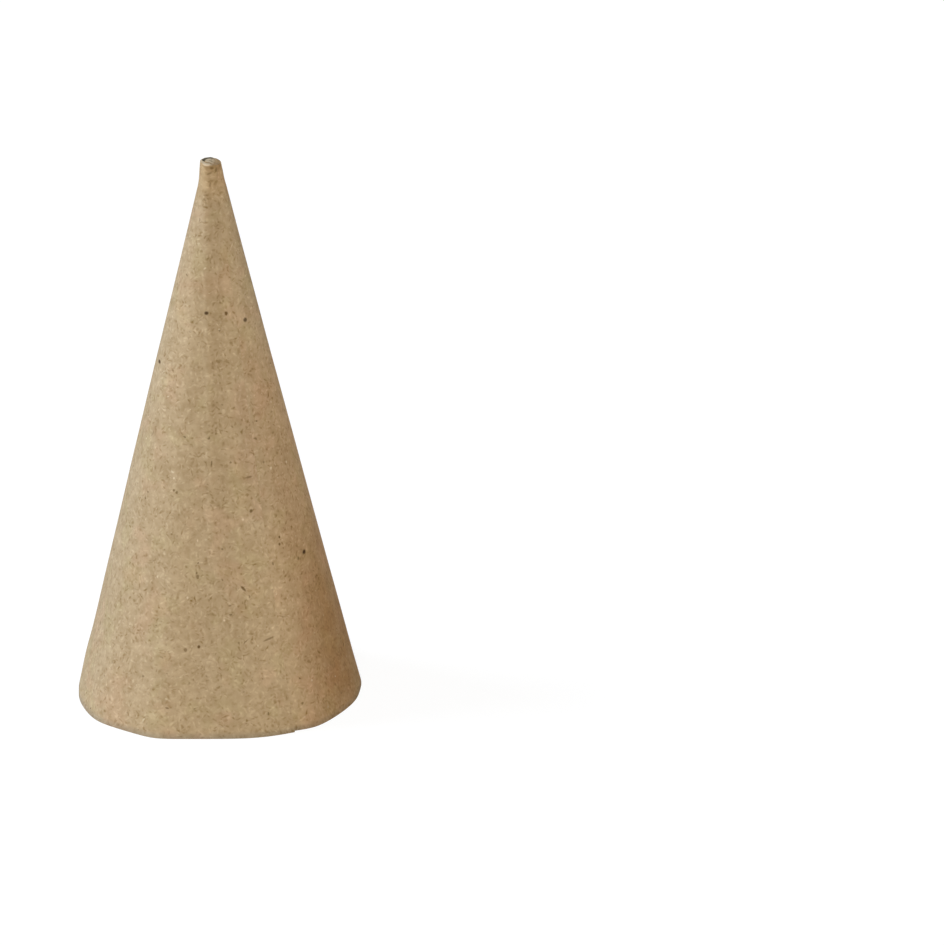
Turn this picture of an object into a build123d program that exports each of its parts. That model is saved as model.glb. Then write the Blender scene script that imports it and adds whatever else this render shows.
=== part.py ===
from build123d import *
import math
import os

# A paper cornet: one sheet of brown board, wound twice round a pointed former, glued, and cut flat at the mouth.
# Millimetres, +Z up. The origin is at the middle of the mouth, which the cornet stands on, and the tip points up.
# Front is -Y, and directions round the axis are in degrees from the front, positive towards +X.

# Overall form
height = 115.0            # from the rim to the middle of the tip's cut end
point_rise = 6.9          # from there to where the straight sides would meet
mouth_radius = 29.85      # of the round back and sides, at the rim

# Board
ply = 1.0                 # thickness of the sheet
turns = 2                 # layers of it in the wall

# Lap: the loose edge of the sheet runs up the outside along this direction, over the turn below it
lap_direction = 32.0
lap_share = 1.044         # reach of the flat along the loose edge at the mouth, as a share of mouth_radius

# Flats that the former leaves along the front: direction of each, and its reach from the axis at the mouth as a
# share of mouth_radius. The first list runs from the lap to the left over the outer turn. The second runs from the
# foot of the lap to the right over the turn below. The last flat of each lies just inside the round side.
over_flat_shares = [(17.0, 1.034), (0.0, 1.016), (-20.0, 1.081), (-36.5, 1.063), (-57.0, 1.058), (-72.0, 1.022),
                    (-90.0, 0.995)]
under_flat_shares = [(38.5, 1.048), (55.0, 1.026), (68.0, 1.008), (88.0, 0.995)]
foot_direction = 20.5     # of the flat at the foot of the lap
blank_share = 1.2         # reach of the blanks that the flats are cut from

# Nose: the tightly rolled end, which leans to one side and has a worn edge
nose_length = 5.0         # from the cut end down to where its axis leaves the cornet's
nose_inset = 0.064        # how far inside the sides it starts there
nose_cover = 1.0          # how far below the cut end the sides end inside it
nose_radius = 2.15        # at the cut end
nose_aside = 0.36         # how far the cut end lies towards -X
nose_tilt = 11.0          # how far the cut end faces the front, in degrees
nose_wear = 0.35          # rounding of its edge

# Coil: the line between the turns of the roll, which shows in the cut end
coil_start = 0.35         # from the middle of the cut end to the line's inner end
coil_inner_radius = 0.6   # of its first half turn
coil_gap = 0.3            # width of the line
coil_rim = 0.1            # least width left between the line and the worn edge
coil_depth = 0.6          # how deep the line stays open

# Hollow
core_length = 7.0         # from the cut end down to where the roll leaves the inside open

overrun = 0.5             # how far a cut passes the face that it starts from

wall = turns * ply
point_height = height + point_rise
half_turn = 180.0
quarter_turn = 90.0
standing = (Align.CENTER, Align.CENTER, Align.MIN)


def outward(direction):
    """Level direction away from the axis."""
    turned = math.radians(direction)
    return Vector(math.sin(turned), -math.cos(turned), 0)


def flat_plane(direction, reach, inset):
    """Plane of a flat: through the sides' meeting point, and as far out at the mouth as its reach, less the inset."""
    out = outward(direction)
    lean = out * point_height + Vector(0, 0, reach)
    return Plane(out * reach, z_dir=lean).offset(-inset)


def side_plane(direction):
    """Upright plane through the axis, facing in this direction."""
    return Plane((0, 0, 0), z_dir=outward(direction))


def wound_form(inset, foot, top):
    """The wound sheet's form, filled solid, as far inside its outermost face as the inset, between two levels."""
    drop = inset * math.hypot(mouth_radius, point_height) / point_height
    radius_at_mouth = mouth_radius - drop
    point = point_height * radius_at_mouth / mouth_radius
    foot_radius = radius_at_mouth * (1 - foot / point)
    top_radius = radius_at_mouth * (1 - top / point)
    lap_reach = lap_share * mouth_radius
    foot_reach = (lap_reach - ply) * math.cos(math.radians(lap_direction - foot_direction))

    with BuildPart(Plane.XY.offset(foot)) as over_turn:
        Cone(foot_radius * blank_share, top_radius * blank_share, top - foot, align=standing)
        split(bisect_by=flat_plane(lap_direction, lap_reach, inset), keep=Keep.BOTTOM)
        for direction, share in over_flat_shares:
            split(bisect_by=flat_plane(direction, share * mouth_radius, inset), keep=Keep.BOTTOM)
        split(bisect_by=side_plane(lap_direction + quarter_turn), keep=Keep.BOTTOM)
        split(bisect_by=side_plane(over_flat_shares[-1][0] - quarter_turn), keep=Keep.BOTTOM)

    with BuildPart(Plane.XY.offset(foot)) as under_turn:
        Cone(foot_radius * blank_share, top_radius * blank_share, top - foot, align=standing)
        split(bisect_by=flat_plane(foot_direction, foot_reach, inset), keep=Keep.BOTTOM)
        for direction, share in under_flat_shares:
            split(bisect_by=flat_plane(direction, share * mouth_radius, inset), keep=Keep.BOTTOM)
        split(bisect_by=side_plane(lap_direction - quarter_turn), keep=Keep.BOTTOM)
        split(bisect_by=side_plane(under_flat_shares[-1][0] + quarter_turn), keep=Keep.BOTTOM)

    with BuildPart(Plane.XY.offset(foot)) as form:
        Cone(foot_radius, top_radius, top - foot, align=standing)
        add(over_turn.part)
        add(under_turn.part)
    return form.part


outside = wound_form(0, 0, height - nose_cover)
hollow = wound_form(wall, -overrun, height - core_length)

# The nose, on an axis that leans, cut off by a plane that faces the front
end_plane = Plane((-nose_aside, 0, height)).rotated((nose_tilt, 0, 0))
nose_foot_radius = mouth_radius * (point_rise + nose_length) / point_height - nose_inset
nose_taper = (nose_foot_radius - nose_radius) / nose_length
blank_length = math.hypot(nose_length, nose_aside) + overrun
with BuildPart(Plane((0, 0, height - nose_length), z_dir=(-nose_aside, 0, nose_length))) as nose:
    Cone(nose_foot_radius, nose_foot_radius - nose_taper * blank_length, blank_length, align=standing)
    split(bisect_by=end_plane, keep=Keep.BOTTOM)
    fillet(nose.faces().sort_by(Axis.Z)[-1].edges(), radius=nose_wear)

# The coil's second half turn starts where the first ends and fills the cut end up to its worn edge
coil_turn = 2 * coil_inner_radius - coil_start
coil_reach = nose_radius - nose_wear - coil_rim - coil_gap / 2
coil_outer_radius = (coil_turn + coil_reach) / 2

with BuildPart() as cornet:
    # The wound sheet and its nose, hollow inside: the lap leaves a step on the outside and one within
    add(outside)
    add(nose.part)
    add(hollow, mode=Mode.SUBTRACT)

    # The line of the coil, two half turns open in the cut end
    with BuildSketch(end_plane.offset(overrun)):
        with BuildLine():
            CenterArc((coil_inner_radius - coil_start, 0), coil_inner_radius, half_turn, half_turn)
            CenterArc((coil_turn - coil_outer_radius, 0), coil_outer_radius, 0, half_turn)
        trace(line_width=coil_gap)
    extrude(amount=-coil_depth - overrun, mode=Mode.SUBTRACT)

cornet.part.label = "cornet"

os.makedirs("parts", exist_ok=True)
export_step(cornet.part, "parts/cornet.step")
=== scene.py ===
import math

import bmesh
import bpy
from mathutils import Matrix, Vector, noise


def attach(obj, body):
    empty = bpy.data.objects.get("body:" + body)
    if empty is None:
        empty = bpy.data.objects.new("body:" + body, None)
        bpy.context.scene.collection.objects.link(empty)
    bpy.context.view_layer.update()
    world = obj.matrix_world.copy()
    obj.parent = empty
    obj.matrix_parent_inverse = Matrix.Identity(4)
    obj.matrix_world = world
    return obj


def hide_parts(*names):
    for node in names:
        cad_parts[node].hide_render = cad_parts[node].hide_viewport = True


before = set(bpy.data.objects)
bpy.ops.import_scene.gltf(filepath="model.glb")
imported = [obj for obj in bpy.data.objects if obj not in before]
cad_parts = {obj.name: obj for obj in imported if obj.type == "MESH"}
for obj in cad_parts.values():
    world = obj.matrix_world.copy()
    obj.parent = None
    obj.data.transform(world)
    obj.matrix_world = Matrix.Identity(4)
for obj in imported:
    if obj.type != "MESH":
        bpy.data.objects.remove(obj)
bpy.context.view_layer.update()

# The wound sheet. One sheet of brown board goes twice round a pointed former and is glued to itself, so the
# wall is two plies thick. Its loose edge runs up the front, pressed flush but for the corner at the rim, and
# the tip is rolled tight. Lengths are in millimetres, and directions in degrees to the right of the front.
mm = 0.001
full_turn = 360.0
turns = 2
ply = 1.0
height = 115.0
point_height = 121.9
mouth_radius = 29.85
slant = math.hypot(point_height, mouth_radius)


def ease(low, high, value):
    """Goes smoothly from 0 at low to 1 at high, or down where high is the smaller."""
    share = min(max((value - low) / (high - low), 0.0), 1.0)
    return share * share * (3 - 2 * share)


# The loose edge is almost flush, but stands off at its corner by the rim and again where the tip is rolled
lap_direction = 32.0
lap_spread = 0.12
flush_step = 0.03
corner_step = 0.67
corner_fade = 1.3
tip_step = 0.3
tip_step_levels = (109, 114)


def lap_step(level):
    """How far the loose edge stands off the turn below it."""
    corner = corner_step * math.exp(-level / corner_fade)
    return flush_step + corner + tip_step * ease(*tip_step_levels, level)


# Flats that the former leaves along the front, on the turn that laps over and on the one below it. Each has
# its direction and its reach as a share of the mouth's radius. They end at the sides and weaken upwards.
over_flats = [(32.0, 1.0547), (17.0, 1.0487), (0.0, 1.0146), (-36.5, 1.0647), (-57.0, 1.0856),
              (-72.0, 1.0288), (-90.0, 0.9953)]
under_flats = [(38.5, 1.1297), (55.0, 1.0386), (68.0, 1.0147), (88.0, 0.9965)]
foot_direction = 20.5
crease_sharpness = 40
flat_span = 80
flats_whole = 78
flats_end = 98
flatness_left = 0.35
flatness_fade = 18
clearance = 0.01


def flats_reach(direction, flats):
    """Reach of a row of flats in this direction, with soft creases between them."""
    total = 0.0
    for facing, reach in flats:
        apart = math.radians(direction - facing)
        if abs(apart) < math.radians(flat_span):
            total += (reach / math.cos(apart)) ** -crease_sharpness
    return total ** (-1 / crease_sharpness)


def side_reach(direction, level):
    """Reach of the outer face from the axis, from the loose edge all the way round to its foot."""
    narrowing = 1 - level / point_height
    flatness = flatness_left + (1 - flatness_left) * math.exp(-level / flatness_fade)
    share = 1.0
    if direction > -flats_end:
        kept = ease(-flats_end, -flats_whole, direction) * flatness
        share += (flats_reach(direction, over_flats) - 1) * kept
    elif direction < flats_end - full_turn:
        lap_share = flats_reach(lap_direction, over_flats)
        foot_share = lap_share - lap_step(level) / (mouth_radius * narrowing * flatness)
        foot_reach = foot_share * math.cos(math.radians(lap_direction - foot_direction))
        facing = direction + full_turn
        kept = ease(flats_end, flats_whole, facing) * flatness
        share += (flats_reach(facing, [(foot_direction, foot_reach)] + under_flats) - 1) * kept
    return share * (mouth_radius - clearance) * narrowing


# A faint ridge up the front, where an edge of the turn beneath shows through, with a trough on its right
ridge_middle = 0.3
ridge_middle_level = 45
ridge_lean = 0.0154
ridge_rise = 0.3
ridge_crest = -0.4
trough_depth = 0.24
trough_place = 2.4
trough_width = 1.7
ridge_starts = (30, 52)
ridge_ends = (113, 109)


def ridge_aside(x, level):
    """How far to the right of the ridge a point lies."""
    return x - ridge_middle + (level - ridge_middle_level) * ridge_lean


def ridge(x, level):
    """How far the ridge stands out, or its trough in."""
    aside = ridge_aside(x, level)
    rise = ridge_rise * math.exp(-(aside - ridge_crest) ** 2)
    rise -= trough_depth * math.exp(-((aside - trough_place) / trough_width) ** 2)
    return rise * ease(*ridge_starts, level) * ease(*ridge_ends, level)


# The nose, the last few millimetres of the roll, leans to the left, and its cut end faces a little forward.
# There the roll is open: a slit between the turns, widest at the back on the left, and a core like a line.
nose_foot = 110.0
nose_foot_radius = 2.85
nose_radius = 2.15
nose_aside = 0.25
nose_tilt = math.tan(math.radians(5.5))
nose_change = (nose_foot - 1, nose_foot + 3.5)
nose_end = (nose_foot + 1, height)
slit_direction = -150.0
slit_spread = (85, 25)
slit_opens = (112.5, height)
slit_shut = 0.02
slit_narrow = 0.06
slit_wide = 0.78
core_direction = 62.0
core_closes = (106.5, 108.5)
core_opens = (112.6, 114.6)
core_shut = 0.05
core_near_reach = 0.85
core_near_spread = 14
core_far_reach = 0.45
core_far_spread = 16


def away_from(direction, middle):
    """Degrees from one direction to another, half a turn at most either way."""
    return (direction - middle + full_turn / 2) % full_turn - full_turn / 2


def slit_share(direction):
    """How wide the slit stands open in this direction, from 0 to 1."""
    return ease(*slit_spread, abs(away_from(direction, slit_direction)))


def slit(direction, level):
    """Gap between one turn and the next."""
    return slit_shut + (slit_narrow + slit_wide * slit_share(direction)) * ease(*slit_opens, level)


def core(direction, level):
    """Reach of the hole down the middle of the roll."""
    aside = away_from(direction, core_direction)
    line = core_near_reach * math.exp(-(aside / core_near_spread) ** 2)
    line += core_far_reach * math.exp(-((abs(aside) - full_turn / 2) / core_far_spread) ** 2)
    return core_shut + line * ease(*core_opens, level)


# Slight faults of the winding: dents, a bow, a bulge low on the left, and a worn and ragged cut end
dent_size = 16
dent_depth = 0.05
dents_start = (0, 6)
dents_end = (112, 100)
bow = 0.17
bulge = 0.25
bulge_level = 7
bulge_spread = 5
bulge_sides = (0, -12)
inner_swell = 0.15
inner_right = 0.08
inner_back = 0.25
end_lift = 0.12
end_ragged = 0.06
end_ragged_slice = 3
end_droop = 0.17
thinnest = 0.02
rounding = 1e-6


def sheet_point(turn, level, inside):
    """Place of a point of the sheet, by its turns from the loose edge, its level and its side."""
    second = turn > 1 - rounding
    part = turn - 1 if second else turn
    direction = lap_direction - full_turn * part
    angle = math.radians(direction)
    reach = side_reach(direction, level)
    if math.cos(angle) > 0:
        reach += ridge(reach * math.sin(angle), level)
    up_nose = (level - nose_foot) / (height - nose_foot)
    rolled = nose_foot_radius + (nose_radius - nose_foot_radius) * up_nose
    reach += (rolled - reach) * ease(*nose_change, level)
    step = lap_step(level)
    pressed = step + (ply - step) * ease(0, lap_spread, part)
    if second:
        reach -= pressed - inner_swell * ease(*slit_opens, level)
        if inside:
            reach -= ply
            reach += (core(direction, level) - reach) * ease(*core_closes, level)
    elif inside:
        reach -= max(pressed - slit(direction, level), thinnest)
    x = reach * math.sin(angle)
    y = -reach * math.cos(angle)
    dent = dent_depth * (1 + noise.noise(Vector((x, y, level)) / dent_size))
    dent *= ease(*dents_start, level) * ease(*dents_end, level)
    sunk = 1 - dent / max(reach, 1)
    at_end = ease(*nose_end, level)
    if second:
        x += inner_right * at_end
        if not inside:
            y += inner_back * at_end
    aside = nose_aside * max(up_nose, 0) + bow * math.sin(math.pi * level / height)
    if x < 0:
        aside += bulge * math.exp(-((level - bulge_level) / bulge_spread) ** 2) * ease(*bulge_sides, x)
    worn = end_ragged * noise.noise(Vector((x, y, end_ragged_slice))) + end_droop * max(x, 0) - end_lift
    return Vector((x * sunk - aside, y * sunk, level + (y * nose_tilt - worn) * at_end)) * mm


# The same sheet laid flat, as it was cut. Its two faces lie apart, so that their fibres differ.
faces_apart = 300


def flat_place(turn, level, inside):
    """Where a point of the sheet lies when it is laid flat, in metres."""
    out = slant * (1 - level / point_height)
    swept = math.radians(full_turn * turn) * mouth_radius / slant
    aside = faces_apart if inside else 0
    return Vector((out * math.cos(swept), out * math.sin(swept) + aside)) * mm


# The loose edge is spun twice round and given a second face, and then each point goes to its place.
# The bands of the edge each have a foot, a top and a number of rows.
bands = [(0, 3, 6), (3, 12, 9), (12, 104, 62), (104, height, 24)]
steps_a_turn = 160
layer_names = ("level", "turn", "side", "in_slit")
sheet = bmesh.new()
for name in layer_names:
    sheet.verts.layers.float.new(name)
lap_angle = math.radians(lap_direction)
edge_line = []
for level in [0] + [top for foot, top, rows in bands]:
    edge_line.append(sheet.verts.new((math.sin(lap_angle), -math.cos(lap_angle), level)))
for low, high in zip(edge_line, edge_line[1:]):
    sheet.edges.new((low, high))
for foot, top, rows in bands:
    band = [edge for edge in sheet.edges if all(foot <= vert.co.z <= top for vert in edge.verts)]
    bmesh.ops.subdivide_edges(sheet, edges=band, cuts=rows - 1)
level_of = sheet.verts.layers.float["level"]
for vert in sheet.verts:
    vert[level_of] = vert.co.z
row_count = len(sheet.verts)
bmesh.ops.spin(sheet, geom=sheet.verts[:] + sheet.edges[:], cent=(0, 0, 0), axis=(0, 0, 1), dvec=(0, 0, 0),
               angle=-math.radians(full_turn * turns), steps=steps_a_turn * turns, use_merge=False,
               use_normal_flip=False, use_duplicate=False)
turn_of = sheet.verts.layers.float["turn"]
for number, vert in enumerate(sheet.verts):
    vert[turn_of] = (number // row_count) / steps_a_turn
bmesh.ops.recalc_face_normals(sheet, faces=sheet.faces[:])
outer_count = len(sheet.verts)
bmesh.ops.solidify(sheet, geom=sheet.faces[:], thickness=ply)
layers = sheet.verts.layers.float
level_of, turn_of, side_of, slit_of = (layers[name] for name in layer_names)
# How much painted shade darkens the slit, the least where it is narrow, and how much the core
least_slit_shade = 0.4
core_slit_shade = 0.7
for number, vert in enumerate(sheet.verts):
    inside = number >= outer_count
    first = vert[turn_of] < 1
    vert[side_of] = 1.0 if inside else 0.0
    if inside == first:
        open_here = slit_share(lap_direction - full_turn * vert[turn_of])
        vert[slit_of] = least_slit_shade + (1 - least_slit_shade) * open_here
    else:
        vert[slit_of] = core_slit_shade if inside else 0.0
    vert.co = sheet_point(vert[turn_of], vert[level_of], inside)
bmesh.ops.recalc_face_normals(sheet, faces=sheet.faces[:])
flat_of = sheet.loops.layers.uv.new("flat_sheet")
for face in sheet.faces:
    face.smooth = True
    within = all(vert[side_of] > 0.5 for vert in face.verts)
    for loop in face.loops:
        place = flat_place(loop.vert[turn_of], loop.vert[level_of], within)
        if not within and loop.vert[side_of] > 0.5:
            place += place.normalized() * ply * mm
        loop[flat_of].uv = place
cornet_mesh = bpy.data.meshes.new("wound_cornet")
sheet.to_mesh(cornet_mesh)
sheet.free()
cornet = bpy.data.objects.new("wound_cornet", cornet_mesh)
bpy.context.scene.collection.objects.link(cornet)
cut_edges = cornet.modifiers.new("cut_edges", "BEVEL")
cut_edges.width = 0.08 * mm
cut_edges.segments = 2
cut_edges.limit_method = "ANGLE"
cut_edges.angle_limit = math.radians(50)
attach(cornet, "root")
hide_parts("cornet")


class Shade:
    """One socket of a node tree, with sums on it that add the nodes they need."""

    def __init__(self, tree, socket=None):
        self.tree = tree
        self.socket = socket

    def node(self, kind, settings=None, sockets=None, out=0):
        """Adds a node of any kind, with its settings first and then its sockets' values or links."""
        made = self.tree.nodes.new("ShaderNode" + kind)
        for name, value in (settings or {}).items():
            setattr(made, name, value)
        for name, value in (sockets or {}).items():
            if isinstance(value, Shade):
                self.tree.links.new(value.socket, made.inputs[name])
            else:
                made.inputs[name].default_value = value
        return Shade(self.tree, made.outputs[out])

    def beside(self, name):
        """Another output of the same node."""
        return Shade(self.tree, self.socket.node.outputs[name])

    def feeds(self, socket):
        """Links this to a socket of a node that is already there."""
        self.tree.links.new(self.socket, socket)

    def maths(self, operation, *values):
        """A sum on numbers."""
        return self.node("Math", {"operation": operation}, dict(enumerate(values)))

    def __add__(self, other):
        return self.maths("ADD", self, other)

    __radd__ = __add__

    def __sub__(self, other):
        return self.maths("SUBTRACT", self, other)

    def __rsub__(self, other):
        return self.maths("SUBTRACT", other, self)

    def __mul__(self, other):
        return self.maths("MULTIPLY", self, other)

    __rmul__ = __mul__

    def __truediv__(self, other):
        return self.maths("DIVIDE", self, other)

    def __rtruediv__(self, other):
        return self.maths("DIVIDE", other, self)

    def larger(self, other):
        """The larger of two numbers."""
        return self.maths("MAXIMUM", self, other)

    def between(self, low, high):
        """Goes smoothly from 0 at low to 1 at high, or down where high is the smaller."""
        if low < high:
            limits = {"From Min": low, "From Max": high, "To Min": 0.0, "To Max": 1.0}
        else:
            limits = {"From Min": high, "From Max": low, "To Min": 1.0, "To Max": 0.0}
        return self.node("MapRange", {"interpolation_type": "SMOOTHSTEP"}, {"Value": self, **limits})

    def vector(self, operation, *values, out=0):
        """A sum on vectors or colours."""
        return self.node("VectorMath", {"operation": operation}, dict(enumerate(values)), out)

    def scaled(self, share):
        """This colour or vector times a number."""
        return self.node("VectorMath", {"operation": "SCALE"}, {0: self, "Scale": share})

    def mixed(self, share, other):
        """This colour, with a share of another over it."""
        return self.node("Mix", {"data_type": "RGBA"}, {0: share, 6: self, 7: other}, out=2)

    def tinted(self, share, tint):
        """This colour, with a share of it times a tint."""
        return self.mixed(share, self.vector("MULTIPLY", self, tint))


# The board is pressed from brown recycled pulp, matt and uncoated. Its fibres and mottle lie in the flat
# sheet, so they turn with it round the cone, and stained places and painted light and shade go by their place
# on the finished cornet.
board_colour = (0.385, 0.275, 0.1535)
fleck_colour = (0.329, 0.275, 0.203)
board = bpy.data.materials.new("brown_board")
board.use_nodes = True
board_tree = board.node_tree
board_shader = board_tree.nodes["Principled BSDF"]
board_shader.inputs["Specular IOR Level"].default_value = 0.2
at = Shade(board_tree).node("TexCoord", out="Object").scaled(1 / mm)
across = at.node("SeparateXYZ", None, {0: at}, out="X")
depth = across.beside("Y")
up = across.beside("Z")
flat = at.node("UVMap", {"uv_map": "flat_sheet"}).scaled(1 / mm)
wobble_size = 2.0
wobble_reach = (1.2, 1.2, 0)
wobble = flat.node("TexNoise", {"noise_dimensions": "2D"},
                   {"Vector": flat, "Scale": 1 / wobble_size, "Detail": 1.0}, out="Color")
bent = flat.vector("MULTIPLY_ADD", wobble, wobble_reach, flat)
faintest = 0.4


def cloud(size, shift, detail=2.0, roughness=0.5):
    """Soft blots of about this size, between -0.5 and 0.5."""
    moved = flat.vector("ADD", flat, shift)
    sockets = {"Vector": moved, "Scale": 1 / size, "Detail": detail, "Roughness": roughness}
    return flat.node("TexNoise", {"noise_dimensions": "2D"}, sockets, out="Fac") - 0.5


def stroke(away, lean, length, width):
    """One long or round mark about a place, given how far off the surface's points are."""
    turned = away.node("VectorRotate", {"rotation_type": "Z_AXIS"}, {"Vector": away, "Angle": lean})
    stretched = turned.vector("MULTIPLY", turned, (1 / length, 1 / width, 0))
    return stretched.vector("LENGTH", stretched, out="Value").between(1.0, 0.35)


def strewn(cell, shift, length, width, cover):
    """Marks strewn over the board, one to a cell of this size at most, each at its own angle and strength."""
    moved = bent.vector("ADD", bent, shift)
    near = moved.node("TexVoronoi", {"feature": "F1", "voronoi_dimensions": "2D"},
                      {"Vector": moved, "Scale": 1 / cell}, out="Color")
    lot = near.node("SeparateColor", None, {0: near}, out="Red")
    away = moved.vector("SUBTRACT", moved, near.beside("Position"))
    drawn = lot.beside("Green").between(1 - cover, 1 - cover + 0.02)
    strength = faintest + (1 - faintest) * lot.beside("Blue")
    return stroke(away, lot * math.tau, length, width) * drawn * strength


def placed(direction, level, length, width, lean):
    """One mark at a place of its own on the outside."""
    turn = (lap_direction - direction) % full_turn / full_turn
    spot = flat_place(turn, level, False) / mm
    swept = turn * math.tau * mouth_radius / slant
    away = flat.vector("SUBTRACT", flat, (spot.x, spot.y, 0))
    return stroke(away, -swept - math.radians(lean), length, width)


# Fibres, long and short, dark and pale, over a mottle of several sizes
long_fibre = {"length": 0.78, "width": 0.29, "cover": 0.6}
short_fibre = {"length": 0.42, "width": 0.29, "cover": 0.55}
darkest = -0.65
crowded = 1 + cloud(5, (31, 77, 0)) * 2.2
dark_fibres = strewn(1.4, (40, 11, 0), **long_fibre) + strewn(1.0, (4, 71, 0), **short_fibre)
dark_fibres = dark_fibres * crowded
pale_fibres = strewn(1.45, (9, 63, 0), **long_fibre) + strewn(1.05, (51, 23, 0), **short_fibre)
mottle = cloud(2.0, (17, 2, 0), 3.0, 0.55)
lightness = cloud(11, (3, 5, 0)) * 0.16 + cloud(4.5, (47, 19, 0)) * 0.24 + mottle * 0.56
lightness = lightness + cloud(0.6, (1, 8, 0)) * 0.15 - dark_fibres * 0.22 + pale_fibres * 0.2
colour = flat.vector("MULTIPLY_ADD", lightness.larger(darkest), fleck_colour, board_colour)

# Places on the cornet: to the right as a share of the radius there, in front, and to the right of the ridge
radius_here = mouth_radius - up * (mouth_radius / point_height)
to_right = across / radius_here
in_front = (depth / radius_here).between(0.8, -0.3)
nose_front = depth.between(0.3, -0.8)
by_ridge = ridge_aside(across, up)

# Stained places and painted light and shade, each with where it lies and its tint: pinker and greener blots;
# warm painted bounce light on the right side, and painted shade half way up it; painted shade, darker and
# redder low down on the right, where the board is also stained redder; glue soaked in round the nose; the top
# a little greyer; painted shade below the lip; painted shade in the trough right of the ridge, along with a
# glue line; and painted shade along the foot of the rim
pinker = cloud(9, (80, 31, 0)).between(0.02, 0.2) * 0.8
greener = cloud(7, (12, 90, 0)).between(0.02, 0.2) * 0.8
painted_warm_bounce = to_right.between(0.42, 0.8) * up.between(86, 66) * in_front
painted_shade_right = to_right.between(0.28, 0.42) * to_right.between(0.95, 0.8)
painted_shade_right = painted_shade_right * up.between(80, 68) * up.between(36, 46) * in_front
red_stain_and_painted_shade = to_right.between(0.6, 0.95) * up.between(60, 16) * (0.65 + 0.35 * up.between(0, 6)) * in_front
red_stain_and_painted_shade = red_stain_and_painted_shade * (0.9 + cloud(6, (5, 44, 0)) * 0.8)
glued_nose = up.between(105.5, 111.5) * 0.7
upper_part = up.between(86, 104)
painted_shade_below_lip = up.between(113.1, 114.1) * nose_front * across.between(-1.7, -0.9)
glue_and_painted_shade = by_ridge.between(-0.5, 0.4) * by_ridge.between(3.4, 1.6) * up.between(32, 50) * in_front
painted_rim_shade = up.between(1.6, 0.2)

# Painted light: paler low on both sides of the front, and round the mouth
painted_light_right = to_right.between(0.2, 0.38) * to_right.between(0.7, 0.56)
painted_light_left = to_right.between(-0.44, -0.3) * to_right.between(-0.1, -0.22)
painted_light = (painted_light_right + painted_light_left * 0.7) * up.between(52, 36) * in_front + up.between(14, 3) * 0.6
stains_and_painted_light = [(pinker, (1.04, 0.98, 0.99)), (greener, (0.98, 1.01, 0.95)), (painted_warm_bounce, (1.01, 0.935, 0.87)),
          (painted_shade_right, (0.94, 0.945, 0.955)), (red_stain_and_painted_shade, (0.72, 0.6, 0.45)), (glued_nose, (1.02, 0.94, 0.8)),
          (upper_part, (0.975, 0.975, 0.985)), (painted_shade_below_lip, (0.76, 0.71, 0.62)),
          (glue_and_painted_shade, (0.945, 0.94, 0.935)), (painted_rim_shade, (0.77, 0.81, 0.88)), (painted_light, (1.05, 1.05, 1.05))]
for where, tint in stains_and_painted_light:
    colour = colour.tinted(where, tint)

# Specks of bark, shives and bits of pale pulp: the size of their cells, a shift, half their length and width,
# the share of cells that have one, how strong they are, and their colour
specks = [(2.6, (2, 14, 0), 0.26, 0.22, 0.4, 0.35, (0.11, 0.064, 0.022, 1)),
          (5.0, (61, 9, 0), 0.38, 0.3, 0.3, 0.7, (0.09, 0.048, 0.014, 1)),
          (15, (27, 33, 0), 1.1, 0.24, 0.3, 0.55, (0.11, 0.062, 0.022, 1)),
          (3.0, (33, 4, 0), 0.24, 0.2, 0.3, 0.4, (0.58, 0.46, 0.29, 1)),
          (6.5, (7, 52, 0), 0.34, 0.27, 0.3, 0.65, (0.62, 0.5, 0.33, 1))]
for *speck, strength, shade in specks:
    colour = colour.mixed(strewn(*speck) * strength, shade)

# The plainest marks, each put in its place: direction, level, half its length and width, lean and strength
black_marks = [(-6.5, 85.4, 0.62, 0.52, 80, 0.9), (45.2, 83.2, 0.75, 0.66, 90, 0.85),
               (-68.5, 73.4, 1.1, 0.55, 90, 0.9), (58.9, 34.1, 0.85, 0.6, 80, 1.0)]
brown_marks = [(19.5, 85.1, 0.58, 0.46, 20, 0.75), (-12.7, 17.8, 0.6, 0.5, 0, 0.5),
               (-6.7, 18.5, 0.5, 0.42, 0, 0.85), (24.6, 45.3, 0.55, 0.45, 30, 0.74),
               (-8.1, 32.6, 0.6, 0.5, 0, 0.53), (41.0, 39.0, 0.4, 0.32, 0, 0.77),
               (40.2, 37.6, 0.42, 0.34, 0, 0.72), (-25.8, 49.5, 0.4, 0.34, 0, 0.55),
               (-23.5, 49.2, 0.42, 0.36, 0, 0.55), (15.9, 30.0, 1.1, 0.36, -40, 0.72),
               (26.2, 19.3, 1.7, 0.32, 75, 0.5), (25.7, 52.1, 1.1, 0.32, 85, 0.5),
               (8, 114.4, 0.5, 0.35, 80, 0.55), (-6.5, 113.2, 0.85, 0.28, 55, 0.33),
               (-4.5, 110.9, 0.75, 0.28, 12, 0.33), (-20.7, 108.8, 0.6, 0.28, 80, 0.28),
               (-24, 108.0, 0.45, 0.3, 0, 0.28)]
pale_marks = [(18.9, 43.8, 0.36, 0.34, 0, 0.7), (-26.7, 51.9, 0.34, 0.3, 0, 0.7),
              (-8.7, 39.8, 0.4, 0.2, 0, 0.7), (5.5, 23.8, 0.32, 0.28, 0, 0.7),
              (-13.0, 28.3, 0.36, 0.3, 0, 0.7), (-22, 115.0, 1.0, 0.45, 90, 0.7)]
black = (0.04, 0.016, 0.002, 1)
brown = (0.075, 0.03, 0.0, 1)
pale = (0.64, 0.5, 0.34, 1)
for marks, shade in ((black_marks, black), (brown_marks, brown), (pale_marks, pale)):
    for *mark, strength in marks:
        colour = colour.mixed(placed(*mark) * strength, shade)
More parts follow.
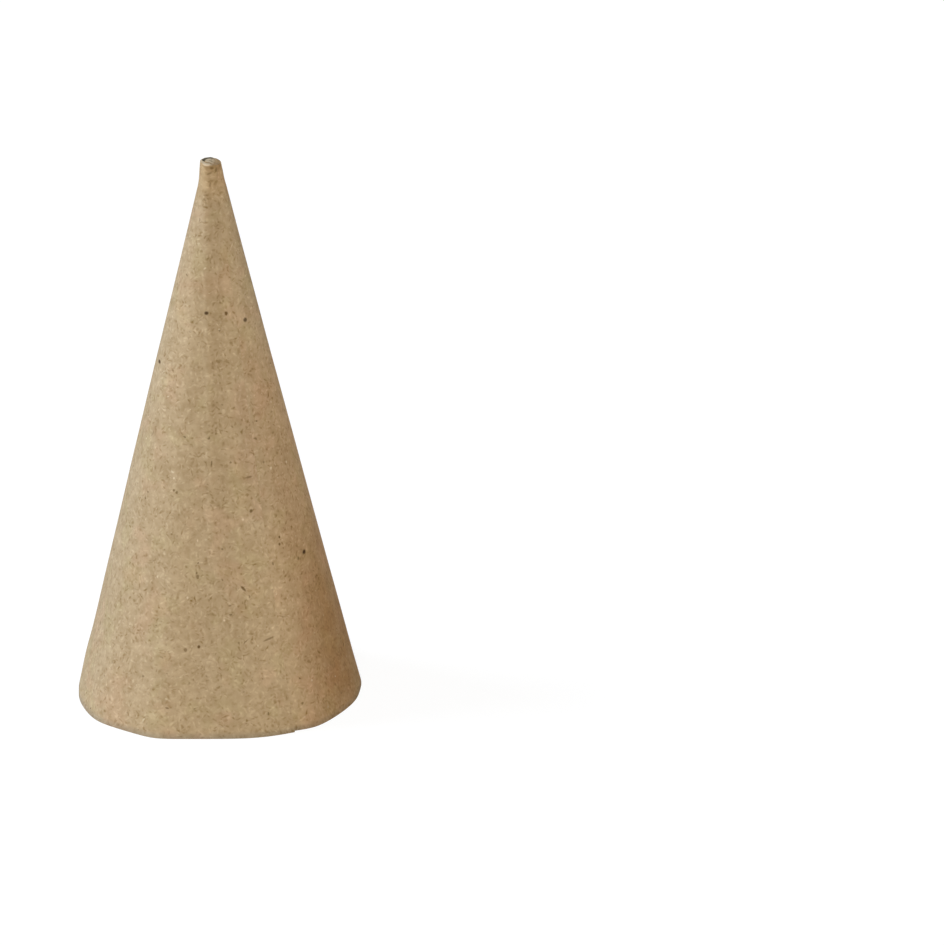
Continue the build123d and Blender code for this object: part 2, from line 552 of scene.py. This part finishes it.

# The cut edges are paler, and painted light makes them paler still on the left. Painted shade darkens
# the right of the tip's end, and painted shade darkens the slit in it.
cut_colour = (0.52, 0.45, 0.33, 1)
slit_shade_colour = (0.1, 0.1, 0.078, 1)
side = at.node("Attribute", {"attribute_name": "side"}, out="Fac")
in_slit = at.node("Attribute", {"attribute_name": "in_slit"}, out="Fac")
cut = side.between(0.05, 0.2) * side.between(0.95, 0.8)
colour = colour.mixed(cut * (0.2 + 0.35 * across.between(1.5, -0.5)), cut_colour)
colour = colour.tinted(cut * across.between(0.0, 0.9) * up.between(112, 114), (0.7, 0.66, 0.6))
slit_shade = in_slit.between(0.3, 1.0) * up.between(111, 113.5) * (1 - cut * 0.8)
colour = colour.mixed(slit_shade * 0.92, slit_shade_colour)
colour.feeds(board_shader.inputs["Base Color"])
(0.88 + mottle * 0.2).feeds(board_shader.inputs["Roughness"])
relief = mottle * 1.2 + cloud(0.35, (22, 6, 0)) * 0.3 - dark_fibres * 0.3 + pale_fibres * 0.3
bump = relief.node("Bump", None, {"Strength": 0.5, "Distance": 0.12 * mm, "Height": relief})
bump.feeds(board_shader.inputs["Normal"])
cornet_mesh.materials.append(board)

# The floor is a wide sheet of plain white paper. The camera sees it as white but for the cornet's own faint
# shadow, and the cornet gets the light that such a sheet throws back.
white = (1, 1, 1, 1)
floor_colour = (0.8, 0.8, 0.8, 1)
floor_half_size = 3.0
floor_mesh = bpy.data.meshes.new("floor")
paper = bmesh.new()
bmesh.ops.create_grid(paper, x_segments=1, y_segments=1, size=floor_half_size)
paper.to_mesh(floor_mesh)
paper.free()
floor = bpy.data.objects.new("floor", floor_mesh)
floor.location.z = -0.02 * mm
bpy.context.scene.collection.objects.link(floor)
floor_paper = bpy.data.materials.new("white_floor")
floor_paper.use_nodes = True
floor_tree = floor_paper.node_tree
floor_shader = floor_tree.nodes["Principled BSDF"]
floor_shader.inputs["Base Color"].default_value = floor_colour
floor_shader.inputs["Roughness"].default_value = 0.9
floor_shader.inputs["Specular IOR Level"].default_value = 0.0


def looked_at(tree):
    """1 for what the camera sees, straight or in a gloss or through glass, and 0 for light on its way."""
    seen = Shade(tree).node("LightPath", out="Is Camera Ray")
    return seen.larger(seen.beside("Is Glossy Ray")).larger(seen.beside("Is Transmission Ray"))


glow = Shade(floor_tree).node("Emission", None, {"Color": white, "Strength": 1.12})
lit_floor = Shade(floor_tree, floor_shader.outputs[0])
shown_floor = glow.node("MixShader", None, {0: looked_at(floor_tree) * 0.8, 1: lit_floor, 2: glow})
shown_floor.feeds(floor_tree.nodes["Material Output"].inputs["Surface"])
floor_mesh.materials.append(floor_paper)

# The room is pale and dim, and looks white. Two wide lamps, a cool one on the left and a warm one in front,
# light the board softly from well off, and a narrow one on the right picks out the cornet's upper half.
room = bpy.data.worlds.new("room")
room.use_nodes = True
bpy.context.scene.world = room
room_tree = room.node_tree
dim = room_tree.nodes["Background"]
dim.inputs["Color"].default_value = white
dim.inputs["Strength"].default_value = 0.2
backdrop = Shade(room_tree).node("Background", None, {"Color": white, "Strength": 1.0})
lit_room = Shade(room_tree, dim.outputs[0])
shown_room = backdrop.node("MixShader", None, {0: looked_at(room_tree), 1: lit_room, 2: backdrop})
shown_room.feeds(room_tree.nodes["World Output"].inputs["Surface"])


def lamp(kind, name, place, target, power, tint, **settings):
    """A lamp at a place, in metres, that faces a target."""
    light = bpy.data.lights.new(name, kind)
    light.color = tint
    light.energy = power
    for setting, value in settings.items():
        setattr(light, setting, value)
    holder = bpy.data.objects.new(name, light)
    holder.location = place
    holder.rotation_euler = (Vector(target) - Vector(place)).to_track_quat("-Z", "Y").to_euler()
    bpy.context.scene.collection.objects.link(holder)


low_middle = (0, 0, 0.05)
above_tip = (0, 0, 0.125)
lamp("AREA", "left_lamp", (-1.9, 0.17, 1.25), low_middle, 50.0, (0.86, 1.0, 1.22), shape="DISK", size=1.4)
lamp("AREA", "front_lamp", (0.17, -2.1, 1.35), low_middle, 35.0, (1.05, 1.0, 0.9), shape="DISK", size=1.6)
lamp("SPOT", "upper_lamp", (1.1, -0.1, 0.6), above_tip, 70.0, (1.0, 1.0, 1.0), shadow_soft_size=0.15,
     spot_size=math.radians(9), spot_blend=1.0)

# The camera stands in front, a little above the cornet, and far off with a long lens, so that the straight
# sides stay straight and the mouth shows as a shallow curve. The cornet is on the left of its picture.
camera_dip = 19.505
eye = bpy.data.cameras.new("camera")
eye.sensor_fit = "HORIZONTAL"
eye.sensor_width = 36.0
eye.lens = 216.2
eye.clip_end = 20.0
camera = bpy.data.objects.new("camera", eye)
camera.location = (0.053178, -1.113466, 0.441981)
camera.rotation_euler = (math.radians(90 - camera_dip), 0, 0)
bpy.context.scene.collection.objects.link(camera)
bpy.context.scene.camera = camera
bpy.context.scene.view_settings.view_transform = "Standard"
